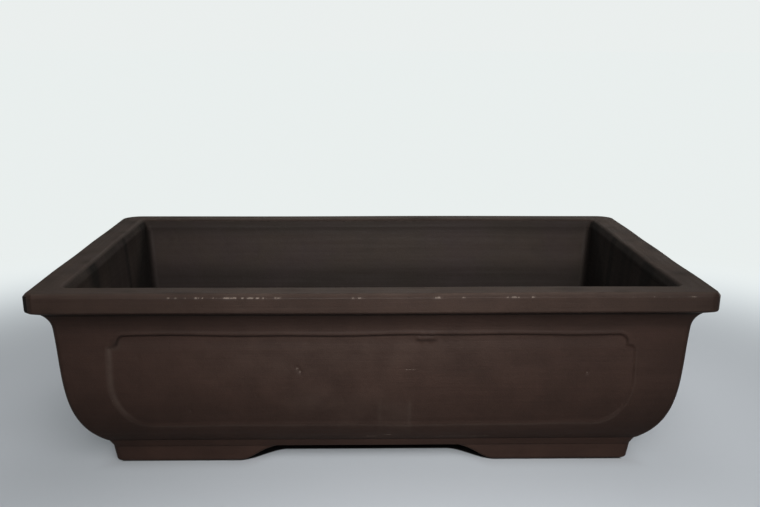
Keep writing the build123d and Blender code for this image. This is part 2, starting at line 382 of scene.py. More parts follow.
# --- the sunk panel and the marks on the walls ----------------------------------------------------
def within(across, z, side, top, radius):
    """How far inside an upright edge and a level one a point lies, their corner rounded."""
    right, above = side - across, top - z
    rounded = radius - np.hypot(radius - right, radius - above)
    return np.where((right < radius) & (above < radius), rounded, np.minimum(right, above))


def soft_max(a, b, ease):
    """The larger of two distances, the nook where they meet filled."""
    near = np.maximum(ease - np.abs(a - b), 0) / ease
    return np.maximum(a, b) + near * near * ease / 4


def panel_depth(t, z, half_along):
    """How far inside the sunk panel's outline a point of a wall lies, negative outside it."""
    side = half_along - PANEL_INSET - PANEL_RIGHT_SHY * (t > 0)
    wide, tall = PANEL_LOW_CORNER
    across = np.abs(t)
    left_or_right = (np.where(t < 0, *pair) for pair in zip(*PANEL_NOTCHES))
    step_in, step_down, upper, lower, fill = left_or_right
    inside = soft_max(within(across, z, side - step_in, PANEL_TOP, upper),
                      within(across, z, side, PANEL_TOP - step_down, lower), fill)
    inside = np.minimum(inside, z - PANEL_BOTTOM)
    ex, ez = (across - (side - wide)) / wide, (z - (PANEL_BOTTOM + tall)) / tall
    out = np.hypot(ex, ez)
    slope = np.maximum(np.hypot(ex / wide, ez / tall) / np.maximum(out, 1e-6), 1e-6)
    curved = (1 - out) / slope
    return np.where((ex > 0) & (ez < 0), np.minimum(inside, curved), inside)


# small dents on the front: along, z, width, depth
NICKS = ((-52.0, 77.3, 1.3, 0.7), (-50.4, 74.6, 1.2, 0.6), (-125.6, 45.5, 0.9, 0.5),
         (146.0, 73.0, 1.0, 0.6), (-159.3, 85.3, 1.6, 0.25), (-80.0, 57.1, 0.8, 0.35))
SMEAR = (27.0, 44.0, 99.0)      # clay smeared over the front panel's upper edge: from, to, z
NOTCH_SHADE = (-173.0, 95.5)    # painted shadow in the front panel's upper left notch: along, z
# soft pale hazes on the front: along, z, width, height, strength
HAZES = ((-12.0, 46.0, 38.0, 18.0, 0.25), (-44.0, 52.0, 16.0, 10.0, 0.25),
         (20.0, 90.0, 80.0, 14.0, 0.3), (-60.0, 84.0, 40.0, 18.0, 0.25))
# pale scratches on the front: from, to, z, strength
SCRATCHES = ((21.0, 29.0, 76.2, 0.7), (-6.0, 3.0, 22.0, 0.85), (7.0, 13.0, 23.5, 0.9),
             (46.0, 82.0, 21.5, 0.8), (-64.0, -57.0, 63.0, 0.45), (120.0, 126.0, 97.5, 0.45))
INNER_PALE_LINE = 90.0        # the inside is paler above it
# dark runs down the insides of the end walls: how far from the back corner, width, strength
RUNS = [(rng.uniform(5, 230), rng.uniform(4, 12), rng.uniform(0.1, 0.4)) for _ in range(15)]


def lining_stain_and_shade(side, t, z):
    """How dark the lining is: dark runs down the end walls, painted shade in their back corners
    and all over the right one, and on the long walls painted shade low down and darker near the top.
    """
    if side in ("front", "back"):
        # on the long walls, painted shade low down, and darker near the top
        return 0.1 + 0.48 * smooth(102, 78, z) + 0.25 * smooth(120, 126, z)
    from_back = DEPTH / 2 - t if side == "right" else DEPTH / 2 + t
    runs = sum(strength * bump(from_back - x, w) for x, w, strength in RUNS)
    reach = 20 + 1.3 * (HEIGHT - z)
    # painted shade towards the back corners
    corner = smooth(reach + 45, reach - 25, from_back)
    # the right end wall, facing away from the light, gets more painted shade all over
    everywhere = 0.6 if side == "right" else 0.18
    return np.minimum(0.95, np.maximum(runs, corner) + everywhere) * smooth(133.4, 131.0, z)


def panel_marks(t, z, half_along, turn):
    """The sunk panel, a little uneven, and its outline with painted highlights on its arris, lower left
    bevel and bottom edge and a painted shadow under its top edge: (sunk by, wear, paleness, stain).
    """
    wave = 0.3 * np.sin(t / 31 + turn) + 0.22 * np.sin(t / 12.3 + 2 * turn)
    depth = panel_depth(t, z, half_along) + wave + 0.15 * np.sin(z / 9 + turn)
    # 1 along the lower left of the outline, along its top and along its bottom, and 0 elsewhere
    low_left = smooth(0, 30, PANEL_INSET + 25 - half_along - t) * smooth(99, 90, z)
    upper = smooth(PANEL_TOP - 12, PANEL_TOP - 3, z)
    lower = smooth(PANEL_BOTTOM + 12, PANEL_BOTTOM + 3, z)
    bevel = 1.5 + 3.2 * low_left + 1.6 * lower
    ground = PANEL_SUNK * (1 + 0.35 * upper - 0.3 * lower) * smooth(-0.3, 1, depth / bevel)
    ridge = 0.3 * upper * bump(depth + 1.3, 1.1)
    # painted highlight: the lower left bevel is made pale and worn, as if it caught the light
    left_bevel_highlight = low_left * bump(depth - 1.6, 1.6)
    # painted highlights: a pale line along the outline's arris and along its bottom edge
    worn_and_highlit = (0.4 + 0.2 * lower) * bump(depth + 0.8, 0.8) + 0.65 * left_bevel_highlight
    pale = 0.9 * left_bevel_highlight + 0.6 * lower * bump(depth + 0.8, 0.9)
    # painted shadow under the panel's top edge
    stain_and_shade = 0.5 * upper * bump(depth - 0.6, 0.7) * (1 - 0.6 * smooth(60, 160, t))
    return ground - ridge, np.minimum(worn_and_highlit, 0.42), pale, stain_and_shade


def joint_line_and_painted_shade(z):
    """Painted shadow under the rim, painted shade up the neck and under the belly, and a dark line
    in the joint over the band.
    """
    # painted shadow under the rim, and a dark line in the joint over the band
    dirt_and_shade = 0.9 * smooth(116.1, 117.2, z) + 0.6 * bump(z - WALL_FOOT, 0.6)
    # painted shade up the neck and under the belly
    return dirt_and_shade + 0.27 * smooth(102, 109, z) + 0.2 * smooth(70, 36, z)


def front_marks(t, z):
    """What only the front wall has, painted shadows in the upper left notch and under the smear among
    it:
    (sunk by, wear, dust, stain).
    """
    sunk, worn_and_highlit = 0.0, 0.0
    for x, level, width, deep in NICKS:
        near = bump(np.hypot(t - x, (z - level) * 0.8), width)
        sunk = sunk + deep * near
        worn_and_highlit = worn_and_highlit + 0.8 * near * min(1, 1.6 * deep)
    for start, end, level, strength in SCRATCHES:
        length = smooth(start - 1, start + 1, t) * smooth(end + 1, end - 1, t)
        worn_and_highlit = worn_and_highlit + strength * length * bump(z - level, 0.5)
    start, end, level = SMEAR
    smear = smooth(start, start + 4, t) * smooth(end, end - 4, t)
    sunk = sunk - 1.1 * smear * bump(z - level, 2.6 + 0.5 * np.sin(t))
    # painted shadow under the smeared clay
    stain_and_shade = 0.5 * smear * bump(z - (level - 1.8), 0.8)
    # painted shadow in the panel's upper left notch
    stain_and_shade = stain_and_shade + 0.4 * bump(np.hypot(t - NOTCH_SHADE[0], z - NOTCH_SHADE[1]), 3.0)
    stain_and_shade = stain_and_shade + 0.12 * smooth(130, 190, t) * smooth(66, 36, z)
    # a pale square low in the middle, palest along its two upright edges
    square = smooth(1, 5, t) * smooth(28, 24, t) * smooth(20, 26, z) * smooth(55, 49, z)
    square = square * (0.5 + 1.2 * bump(t - 4, 1.2) + 1.2 * bump(t - 25, 1.2))
    dust_and_highlight = sum(s * bump(t - x, w) * bump(z - h, v) for x, h, w, v, s in HAZES) + 0.45 * square
    return sunk, worn_and_highlit, dust_and_highlight, stain_and_shade


def wall_shape(side):
    """A wall's panel and marks, painted highlights and shade among them: (sunk by, wear, dust, stain)
    for the points of one column.
    """
    half_along = side_axes(side)[2][0]
    turn = SIDES.index(side) * 1.7
    smudges = rng.uniform((-half_along, 25, 12, 8, 0.1), (half_along, 100, 45, 22, 0.4), (9, 5))

    def shape(t, section):
        z, outside = section.z, section.inner == 0
        line = INNER_PALE_LINE + 1.5 * np.sin(t / 40 + turn) + 0.8 * np.sin(t / 13 + turn)
        paler_above_line = 0.5 * smooth(line - 7, line + 7, z) * smooth(123, 115, z) * section.inner
        lining_dark = lining_stain_and_shade(side, t, z) * section.inner
        sunk, worn_and_highlit, pale, stain_and_shade = panel_marks(t, z, half_along, turn)
        dust_and_highlight = sum(s * bump(t - x, w) * bump(z - h, v) for x, h, w, v, s in smudges)
        if side == "front":
            also_sunk, also_worn, dust_and_highlight, also_stain_and_shade = front_marks(t, z)
            sunk, worn_and_highlit, stain_and_shade = sunk + also_sunk, worn_and_highlit + also_worn, stain_and_shade + also_stain_and_shade
        dust_and_highlight = np.maximum((dust_and_highlight + pale) * outside, paler_above_line)
        return sunk * outside, worn_and_highlit * outside, dust_and_highlight, (stain_and_shade + joint_line_and_painted_shade(z)) * outside + lining_dark

    return shape


# stretches of the rim's front edge that are chipped: from, to, how badly
CHIPPED = ((-117.0, -57.0, 0.85), (-15.0, -6.0, 0.65), (38.0, 47.0, 0.65), (58.0, 63.0, 0.5),
           (84.0, 107.0, 0.6), (206.0, 213.0, 0.7))
# single chips on the same edge: place, how badly
CHIP_DOTS = ((-134.0, 1.0), (-129.0, 0.9), (-123.0, 0.6),
             (170.0, 0.5), (184.0, 0.6), (194.0, 0.5))
CHIP_GAP, CHIP_DOT_WIDTH = 1.5, 0.9


def rim_shape(side):
    """A rim strip's chips and dirt, painted shade on its mouth's edge and front left facet, and its
    top's
    dust, partly a painted sheen: (sunk by, wear, dust, stain) for the points of one column.
    """
    half_along = side_axes(side)[2][0]
    if side == "front":
        stretches = CHIPPED
    else:
        starts = rng.uniform(-half_along + 20, half_along - 40, 5)
        stretches = [(x, x + rng.uniform(4, 22), rng.uniform(0.3, 0.8)) for x in starts]
    bites = []
    for start, end, badly in stretches:
        for x in rng.uniform(start, end, int((end - start) / CHIP_GAP)):
            width = rng.uniform(0.4, 0.8) * (1 if rng.random() < 0.75 else 2)
            bites.append((x, width, badly * rng.uniform(0.45, 1.1)))
    if side == "front":
        bites += [(x, CHIP_DOT_WIDTH, badly) for x, badly in CHIP_DOTS]
    dirt_and_shade = rng.uniform((20 - half_along, 4, 4, 3, 0.1), (half_along - 20, 20, 18, 7, 0.35), (14, 5))

    def shape(t, section):
        z, inset = section.z, section.inset
        edge = bump(z - RIM_WIDEST[1] - 0.2, 0.45) * (inset < 4)
        chipped = sum(badly * bump(t - x, width) for x, width, badly in bites)
        bite = np.minimum(1, chipped) * edge
        # pale dust over the rim's flat top, which is partly a painted sheen
        dust_and_highlight = smooth(RIM_WIDEST[1] + 1, HEIGHT - 0.3, z)
        stain_and_shade = lining_stain_and_shade(side, t, z) * section.inner
        # painted shade over the mouth's rounded edge
        stain_and_shade = stain_and_shade + 0.35 * smooth(19.5, 22.0, inset) * (1 - section.inner)
        spots = sum(s * bump(t - x, w) * bump(inset - i, v) for x, i, w, v, s in dirt_and_shade)
        stain_and_shade = stain_and_shade + spots * smooth(HEIGHT - 0.8, HEIGHT - 0.2, z)
        if side == "front":
            stain_and_shade = stain_and_shade + 0.2 * smooth(120, 215, t)
        if side == "left":
            # the facet cut on the front left corner, darkened with painted shade
            face = (z < RIM_WIDEST[1] + 0.7) * (inset < 5)
            stain_and_shade = stain_and_shade + smooth(7.4, 6.8, half_along - t) * face
        if side == "right":
            stain_and_shade = stain_and_shade + 0.22 * smooth(0, -120, t) * (inset > 1)
        return 0.35 * bite, bite, dust_and_highlight, stain_and_shade

    return shape


def band_shape(t, section):
    """Darker along the two joints of the band."""
    joints = 0.6 * bump(section.z - WALL_FOOT, 0.5) + 0.3 * bump(section.z - BAND_FOOT[1], 0.5)
    return 0, 0, 0, joints * (section.inset < BAND_FOOT[0] + 1)


# --- the pieces -----------------------------------------------------------------------------------
pieces = {}
CORNERS = ("front_left", "front_right", "back_left", "back_right")
# the corners at the left and the right end of each side, seen from outside
SIDE_ENDS = {"front": ("front_left", "front_right"), "right": ("front_right", "back_right"),
             "back": ("back_right", "back_left"), "left": ("back_left", "front_left")}
# the rim's corners are not alike: how much wider than drawn, and how far cut down to a facet
RIM_CORNERS = {"front_left": (0.0, 0.9), "front_right": (0.0, 0.3),
               "back_left": (10.0, 0.0), "back_right": (8.0, 0.1)}


def build_sides():
    """Rim strips, walls, base bands and floor coils, from mitre to mitre along each side."""
    rim, wall, band, coil = rim_section(), wall_section(), band_section(), floor_coil_section()
    # the lining's streaks run on from the rim strip down the wall
    wall.way += rim.way[-1] - wall.way[np.argmax(wall.inner)]
    for side in SIDES:
        corners = [RIM_CORNERS[corner] for corner in SIDE_ENDS[side]]
        streaked = 1.0 if side in ("left", "right") else 0.0
        pieces[f"{side}_rim_strip"] = side_strip(
            f"{side}_rim", side, rim, RIM_SPACING, rim_shape(side), corners, streaked)
        pieces[f"{side}_wall"] = side_strip(
            f"{side}_wall_slab", side, wall, FINE, wall_shape(side), streaked=streaked)
        pieces[f"{side}_base_band"] = side_strip(
            f"{side}_band", side, band, BASE_SPACING, band_shape)
        pieces[f"{side}_floor_seam"] = side_strip(
            f"{side}_floor_coil", side, coil, BASE_SPACING)


def corner_signs(corner):
    """Which way a corner lies from the middle, along X and along Y."""
    return (-1 if "left" in corner else 1), (-1 if "front" in corner else 1)


def build_corner_coil(corner):
    """An upright coil pressed into the inner corner of two walls."""
    lining = bezier(LINING, 60)
    sx, sy = corner_signs(corner)
    r = CORNER_COIL_RADIUS
    arc = np.linspace(0, pi / 2, 9)
    # the darkening, stain and painted shade, of the side wall on its half of the coil, and of the long
    # wall on the other
    near_side = np.concatenate([smooth(1.5, 0.6, arc), np.zeros(3)])
    columns, marks = [], {mark: [] for mark in MARKS}
    for z in np.linspace(*CORNER_COIL_ENDS, 64):
        inset = inset_at(z, lining)
        a, o = LENGTH / 2 - inset, DEPTH / 2 - inset
        x = np.concatenate([a - r + r * np.cos(arc), [a - r, a + COIL_TUCK, a + COIL_TUCK]])
        y = np.concatenate([o - r + r * np.sin(arc), [o + COIL_TUCK, o + COIL_TUCK, o - r]])
        columns.append(np.column_stack([sx * x, sy * y, np.full_like(x, z)]))
        marks["clay_place"].append(np.column_stack([x, y, np.full_like(x, z)]) * MM)
        lining_dark = lining_stain_and_shade("left", -DEPTH / 2 if "back" in corner else DEPTH / 2, z)
        marks["stain_and_shade"].append(near_side * lining_dark + (1 - near_side) * lining_stain_and_shade("back", 0, z))
        for mark, value in (("wear", 0.0), ("dust_and_highlight", 0.1), ("inner", 1.0)):
            marks[mark].append(np.full_like(x, value))
    pieces[f"{corner}_corner_seam"] = swept(f"{corner}_corner_coil", columns, marks)


def foot_ring(base):
    """Inset, z and plan radius round a foot's section, its underside at height base."""
    toe_z = base + FOOT_ROUND
    face_z = np.linspace(BAND_FOOT[1], toe_z, 10)
    face = np.interp(face_z, [FOOT_TOE[1], BAND_FOOT[1]], [FOOT_TOE[0], BAND_FOOT[0]])
    ease = np.linspace(0, pi / 2, 5)[1:]
    round_inset = face[-1] + FOOT_ROUND * (1 - np.cos(ease))
    round_z = toe_z - FOOT_ROUND * np.sin(ease)
    under = np.linspace(round_inset[-1], STRIP_INNER_INSET, 9)[1:]
    inset = np.concatenate([face, round_inset, under, [STRIP_INNER_INSET]])
    z = np.concatenate([face_z, round_z, np.full_like(under, base), [BAND_FOOT[1]]])
    outer_radius = np.full(len(face) + len(ease), BASE_RADIUS)
    radius = np.concatenate([outer_radius, np.linspace(BASE_RADIUS, SHARP, len(under)), [SHARP]])
    return inset, np.minimum(z, BAND_FOOT[1]), radius


def foot_run(gap, half_along, half_out):
    """Columns (along, out, z) from a gap's end to where the corner begins, along one side."""
    stop = BAND_FOOT[1] - GAP_THINNEST
    order = np.argsort(gap[:, 0])
    first = np.interp(-stop, -gap[::-1, 1], gap[::-1, 0])
    last = half_along - FOOT_TOE[0] - BASE_RADIUS
    curved, straight = np.linspace(first, gap[0, 0], 30), np.linspace(gap[0, 0], last, 36)[1:]
    run = []
    for place in np.concatenate([curved, straight]):
        base = np.interp(place, gap[order, 0], gap[order, 1])
        inset, z, radius = foot_ring(min(base, stop))
        along = np.minimum(place, half_along - inset - radius)
        run.append((along, half_out - inset, z))
    return run


def build_foot(corner):
    """An L-shaped foot round a corner, its two ends cut to a double curve."""
    sx, sy = corner_signs(corner)
    shift = FRONT_GAP_SHIFT * sx if sy < 0 else 0.0
    long_run = foot_run(bezier(GAP_LONG, 40) + [shift, 0], LENGTH / 2, DEPTH / 2)
    short_run = foot_run(bezier(GAP_SHORT, 40), DEPTH / 2, LENGTH / 2)
    way, columns, marks = 0.0, [], {mark: [] for mark in MARKS}

    def add(x, y, z):
        columns.append(np.column_stack([sx * x, sy * y, z]))
        marks["clay_place"].append(np.column_stack([np.full_like(z, way), z, 0 * z]) * MM)
        marks["wear"].append(bump(z - z.min(), 0.8) * 0.25)
        marks["stain_and_shade"].append(0.3 * bump(z - BAND_FOOT[1], 0.5))
        marks["dust_and_highlight"].append(0 * z)
        marks["inner"].append(0 * z)

    for along, out, z in long_run:
        add(along, out, z)
        way += BASE_SPACING
    inset, z, radius = foot_ring(0.0)
    for angle in np.linspace(0, pi / 2, 2 * ARC_STEPS + 1)[1:-1]:
        x = LENGTH / 2 - inset - radius + radius * sin(angle)
        y = DEPTH / 2 - inset - radius + radius * cos(angle)
        add(x, y, z)
        way += CORNER_WAY
    for along, out, z in reversed(short_run):
        add(out, along, z)
        way += BASE_SPACING
    pieces[f"{corner}_foot"] = swept(f"{corner}_foot_block", columns, marks)


def floor_plate():
    """The floor slab before its holes are cut: a box with dense faces above and below."""
    half_x, half_y = LENGTH / 2 - FLOOR_INSET, DEPTH / 2 - FLOOR_INSET
    xs = np.linspace(-half_x, half_x, int(half_x))
    ys = np.linspace(-half_y, half_y, int(half_y))
    gx, gy = np.meshgrid(xs, ys, indexing="ij")
    flat = np.column_stack([gx.ravel(), gy.ravel()])
    points = np.concatenate([np.insert(flat, 2, z, axis=1) for z in (WALL_FOOT, FLOOR_TOP)])
    here = np.arange(gx.size).reshape(gx.shape)
    quads = np.stack([here[:-1, :-1], here[1:, :-1], here[1:, 1:], here[:-1, 1:]], -1).reshape(-1, 4)
    loop = np.concatenate([here[:, 0], here[-1, 1:], here[-2::-1, -1], here[0, -2:0:-1]])
    ahead = np.roll(loop, -1)
    faces = quads[:, ::-1].tolist() + (quads + gx.size).tolist()
    faces += np.column_stack([loop, ahead, ahead + gx.size, loop + gx.size]).tolist()
    from_middle = np.hypot(points[:, 0] / half_x, points[:, 1] / half_y)
    marks = {"clay_place": points * MM, "wear": np.zeros(len(points)),
             "dust_and_highlight": 0.35 * smooth(0.4, 1.1, from_middle),
             "inner": (points[:, 2] > FLOOR_TOP - 1).astype(float)}
    return make_object("floor_plate", points, faces, marks)


def hole_cutter(name, x, y, radius):
    """A round cutter through the floor whose ends flare, so that the hole's edges are eased."""
    flare = min(HOLE_FLARE, radius * 0.35)
    count = 96 if radius > 5 else 40
    over, overlap = 2.0, 0.02
    ease = np.linspace(0, pi / 2, 5)
    rise = np.concatenate([[WALL_FOOT - over], WALL_FOOT + flare * np.sin(ease) - overlap,
                           FLOOR_TOP - flare * np.sin(ease[::-1]) + overlap, [FLOOR_TOP + over]])
    grow = radius + np.concatenate([[flare], flare * (1 - np.sin(ease)),
                                    flare * (1 - np.sin(ease[::-1])), [flare]])
    angles = np.linspace(0, 2 * pi, count, endpoint=False)
    # the holes are not quite round
    shape = 1 + 0.012 * np.sin(2 * angles + x) + 0.008 * np.sin(5 * angles + y)
    across, along = shape * np.cos(angles), shape * np.sin(angles)
    rings = []
    for reach, z in zip(grow, rise):
        rings.append(np.column_stack([x + reach * across, y + reach * along, np.full(count, z)]))
    blank = [np.zeros(count)] * len(rings)
    marks = {"clay_place": rings, "wear": blank, "dust_and_highlight": blank, "inner": [np.ones(count)] * len(rings)}
    return swept(name, rings, marks)


def build_floor():
    """The floor slab with its drain holes and tie-wire holes."""
    slab = floor_plate()
    holes = DRAIN_HOLES + WIRE_HOLES
    cutters = [hole_cutter(f"hole_cutter_{index}", *hole) for index, hole in enumerate(holes)]
    for cutter in cutters:
        modifier = slab.modifiers.new("hole", "BOOLEAN")
        modifier.object = cutter
        modifier.solver = "EXACT"
    graph = bpy.context.evaluated_depsgraph_get()
    cut = bpy.data.meshes.new_from_object(slab.evaluated_get(graph))
    slab.modifiers.clear()
    slab.data = cut
    cut.set_sharp_from_angle(angle=CREASE_ANGLE)
    for cutter in cutters:
        bpy.data.objects.remove(cutter)
    pieces["floor_slab"] = slab


build_sides()
for corner in CORNERS:
    build_corner_coil(corner)
    build_foot(corner)
build_floor()

for node, piece in pieces.items():
    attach(piece, "root")
    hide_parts(node)


# --- materials ------------------------------------------------------------------------------------
# linear colours of the clay, of its lining, and of what marks it
BODY_DARK, BODY_LIGHT = (0.0312, 0.0167, 0.0128, 1), (0.0395, 0.0213, 0.0163, 1)
RIM_DARK, RIM_LIGHT = (0.034, 0.0195, 0.0147, 1), (0.043, 0.0258, 0.02, 1)
LINING_LIGHT, LINING_DARK = (0.0375, 0.0258, 0.0252, 1), (0.0305, 0.023, 0.0182, 1)
PALE_RUNS = (0.07, 0.057, 0.047, 1)
# pale, for dust and for painted highlights and sheen
PALE_HAZE_AND_HIGHLIGHT = (0.088, 0.067, 0.056, 1)
PALE_SPECKS = (0.085, 0.062, 0.052, 1)
BARE_CHIP = (0.25, 0.205, 0.175, 1)
# for rubbed edges, and for painted highlights on the front panel's outline
RUBBED_AND_HIGHLIT_EDGE = (0.075, 0.055, 0.047, 1)
# dark, for stains and for painted shade and shadows
DARK_STAIN_AND_SHADE = (0.0055, 0.0038, 0.0032, 1)


class Nodes:
    """Short names for the few kinds of node that the materials use."""

    def __init__(self, tree):
        self.tree = tree

    def make(self, kind, inputs=None, **settings):
        """A node whose inputs are each given as a number, a colour or another node's output."""
        node = self.tree.nodes.new(kind)
        for key, value in settings.items():
            setattr(node, key, value)
        for key, value in (inputs or {}).items():
            if isinstance(value, bpy.types.NodeSocket):
                self.tree.links.new(value, node.inputs[key])
            else:
                node.inputs[key].default_value = value
        return node

    def attribute(self, name, output="Fac"):
        return self.make("ShaderNodeAttribute", attribute_name=name).outputs[output]

    def scaled(self, vector, scale):
        return self.make("ShaderNodeVectorMath", {0: vector, 1: scale}, operation="MULTIPLY").outputs[0]

    def noise(self, vector, scale, detail=3.0, rough=0.5):
        inputs = {"Vector": vector, "Scale": scale, "Detail": detail, "Roughness": rough}
        return self.make("ShaderNodeTexNoise", inputs).outputs["Fac"]

    def cells(self, vector, scale, feature="F1"):
        inputs = {"Vector": vector, "Scale": scale}
        return self.make("ShaderNodeTexVoronoi", inputs, feature=feature).outputs["Distance"]

    def span(self, value, low, high, to_low=0.0, to_high=1.0):
        """A value carried smoothly from the range low to high onto the range to_low to to_high."""
        inputs = {"Value": value, "From Min": low, "From Max": high,
                  "To Min": to_low, "To Max": to_high}
        node = self.make("ShaderNodeMapRange", inputs, interpolation_type="SMOOTHSTEP")
        return node.outputs["Result"]

    def maths(self, operation, a, b):
        return self.make("ShaderNodeMath", {0: a, 1: b}, operation=operation).outputs[0]

    def mix(self, factor, a, b, blend="MIX"):
        inputs = {"Factor": factor, "A": a, "B": b}
        node = self.tree.nodes.new("ShaderNodeMix")
        node.data_type, node.blend_type = "RGBA", blend
        for key, value in inputs.items():
            socket = next(s for s in node.inputs if s.name == key and s.enabled)
            if isinstance(value, bpy.types.NodeSocket):
                self.tree.links.new(value, socket)
            else:
                socket.default_value = value
        return next(s for s in node.outputs if s.enabled)

    def bump(self, height, strength, distance, normal=None):
        inputs = {"Height": height, "Strength": strength, "Distance": distance}
        if normal:
            inputs["Normal"] = normal
        return self.make("ShaderNodeBump", inputs).outputs["Normal"]


def clay_material(name, dark, light, streaks):
    """Unglazed fired clay: mottled, wiped along the strip, dusty and chipped where it is marked,
    and carrying the painted highlights, sheen and shade that its marks hold.
    """
    material = bpy.data.materials.new(name)
    material.use_nodes = True
    nodes = Nodes(material.node_tree)
    shader = material.node_tree.nodes["Principled BSDF"]
    place = nodes.make("ShaderNodeTexCoord").outputs["Object"]
    strip = nodes.attribute("clay_place", "Vector")
    wear, dust_and_highlight, stain_and_shade = (nodes.attribute(mark) for mark in ("wear", "dust_and_highlight", "stain_and_shade"))
    inner, streaked = (nodes.attribute(mark) for mark in ("inner", "streaked"))

    mottle = nodes.noise(place, 16, 4, 0.6)
    blotch = nodes.noise(place, 55, 3, 0.6)
    wipes = nodes.noise(nodes.scaled(strip, (7, 330, 1)), 1.0, 4, 0.65)
    fine_wipes = nodes.noise(nodes.scaled(strip, (22, 1300, 1)), 1.0, 3, 0.6)
    upright = nodes.noise(nodes.scaled(strip, (55, 5, 1)), 1.0, 4, 0.7)
    grain = nodes.noise(place, 1500, 2, 0.6)
    specks = nodes.cells(place, 520)

    # the clay's own colour, varied by its wipes, blotches and grain, and calmer inside
    colour = nodes.mix(nodes.span(mottle, 0.32, 0.68), dark, light)
    tone = nodes.maths("ADD", nodes.span(wipes, 0.25, 0.75, 1 - streaks, 1 + streaks),
                       nodes.span(blotch, 0.3, 0.7, -0.08, 0.08))
    tone = nodes.maths("ADD", tone, nodes.span(grain, 0.25, 0.75, -0.14, 0.14))
    tone = nodes.maths("ADD", tone, nodes.span(fine_wipes, 0.3, 0.7, -0.045, 0.045))
    calm = nodes.maths("SUBTRACT", 1, nodes.maths("MULTIPLY", inner, 0.7))
    tone = nodes.maths("ADD", 1, nodes.maths("MULTIPLY", nodes.maths("SUBTRACT", tone, 1), calm))
    colour = nodes.mix(1.0, colour, tone, "MULTIPLY")

    # the lining, with pale upright runs where it is streaked
    lining = nodes.mix(nodes.span(mottle, 0.35, 0.65), LINING_LIGHT, LINING_DARK)
    colour = nodes.mix(nodes.maths("MULTIPLY", inner, 0.8), colour, lining)
    runs = nodes.maths("MULTIPLY", nodes.span(upright, 0.4, 0.62), streaked)
    colour = nodes.mix(nodes.maths("MULTIPLY", runs, 0.55), colour, PALE_RUNS)

    # uneven haze and specks; the haze is also painted highlights on the front panel's outline and a
    # painted sheen on the rim's top
    patches = nodes.maths("MULTIPLY", nodes.span(blotch, 0.3, 0.62, 0.3, 1.0),
                          nodes.span(mottle, 0.3, 0.6, 0.4, 1.0))
    haze_and_highlight = nodes.maths("MULTIPLY", dust_and_highlight, patches)
    colour = nodes.mix(nodes.maths("MULTIPLY", haze_and_highlight, 0.5), colour, PALE_HAZE_AND_HIGHLIGHT)
    colour = nodes.mix(nodes.span(specks, 0.0, 0.13, 0.35, 0.0), colour, PALE_SPECKS)

    # wear: chips where it is heavy, and rubbed edges, which along the front panel's outline are painted
    # highlights
    chip_grain = nodes.noise(nodes.scaled(strip, (650, 2200, 1)), 1.0, 2, 0.5)
    chips = nodes.span(nodes.maths("ADD", wear, chip_grain), 1.08, 1.3)
    colour = nodes.mix(chips, colour, BARE_CHIP)
    rubbed_and_highlit = nodes.maths("MULTIPLY", nodes.span(wear, 0.1, 0.8), 0.35)
    colour = nodes.mix(rubbed_and_highlit, colour, RUBBED_AND_HIGHLIT_EDGE)

    # stains, and painted shade and shadows
    stain_and_shade = nodes.maths("MULTIPLY", stain_and_shade, nodes.span(blotch, 0.2, 0.6, 0.86, 1.0))
    colour = nodes.mix(stain_and_shade, colour, DARK_STAIN_AND_SHADE)

    rough = nodes.maths("ADD", nodes.span(wipes, 0.3, 0.7, 0.5, 0.6),
                        nodes.span(grain, 0.3, 0.7, -0.04, 0.06))
    rough = nodes.maths("ADD", rough, nodes.maths("MULTIPLY", haze_and_highlight, 0.15))
    rough = nodes.maths("ADD", rough, nodes.maths("MULTIPLY", stain_and_shade, 0.25))

    normal = nodes.bump(nodes.span(specks, 0.0, 0.3), 0.35, 0.00012)
    normal = nodes.bump(grain, 0.5, 0.00016, normal)
    normal = nodes.bump(nodes.maths("MULTIPLY", fine_wipes, calm), 0.22, 0.00012, normal)
    normal = nodes.bump(nodes.maths("MULTIPLY", wipes, calm), 0.28, 0.0005, normal)
    normal = nodes.bump(blotch, 0.3, 0.0012, normal)

    shader.inputs["Specular IOR Level"].default_value = 0.26
    nodes.tree.links.new(colour, shader.inputs["Base Color"])
    nodes.tree.links.new(rough, shader.inputs["Roughness"])
    nodes.tree.links.new(normal, shader.inputs["Normal"])
    return material


def finish_pieces():
    """Gives the pieces, and the CAD's own nodes, their clay."""
    body = clay_material("fired_clay", BODY_DARK, BODY_LIGHT, 0.045)
    rim = clay_material("rim_clay", RIM_DARK, RIM_LIGHT, 0.1)
    for node, piece in pieces.items():
        piece.data.materials.clear()
        piece.data.materials.append(rim if node.endswith("rim_strip") else body)
    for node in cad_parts.values():
        node.data.materials.clear()
        node.data.materials.append(body)


finish_pieces()


# --- floor, light and camera ----------------------------------------------------------------------
# the camera is a little left of the middle: its place in metres, its turns, and its lens
CAMERA_PLACE = (-0.0105, -0.8336, 0.2938)
YAW, PITCH, ROLL = radians(1.214), radians(11.203), radians(0.151)
SENSOR, LENS = 36, 50.35

# light that the floor and the sky send to the camera, and the dim light that the sky sends to the pot
NEAR_GLOW, FAR_GLOW, SKY_SEEN, SKY_LIGHT = 0.17, 0.86, 0.86, 0.05
NEAR_SHINE, FAR_SHINE, SKY_SHINE = (0.86, 0.95, 1.0, 1), (0.95, 1.0, 0.99, 1), (0.96, 1.0, 0.99, 1)
# the floor's colour close to the pot, far off, and in the painted shadow under it, as the camera
# sees them, and the plain grey that lights the pot
NEAR_FLOOR, FAR_FLOOR = (0.55, 0.59, 0.65, 1), (0.0, 0.0, 0.0, 1)
SHADED_FLOOR, GREY_FLOOR = (0.012, 0.012, 0.013, 1), (0.4, 0.4, 0.41, 1)
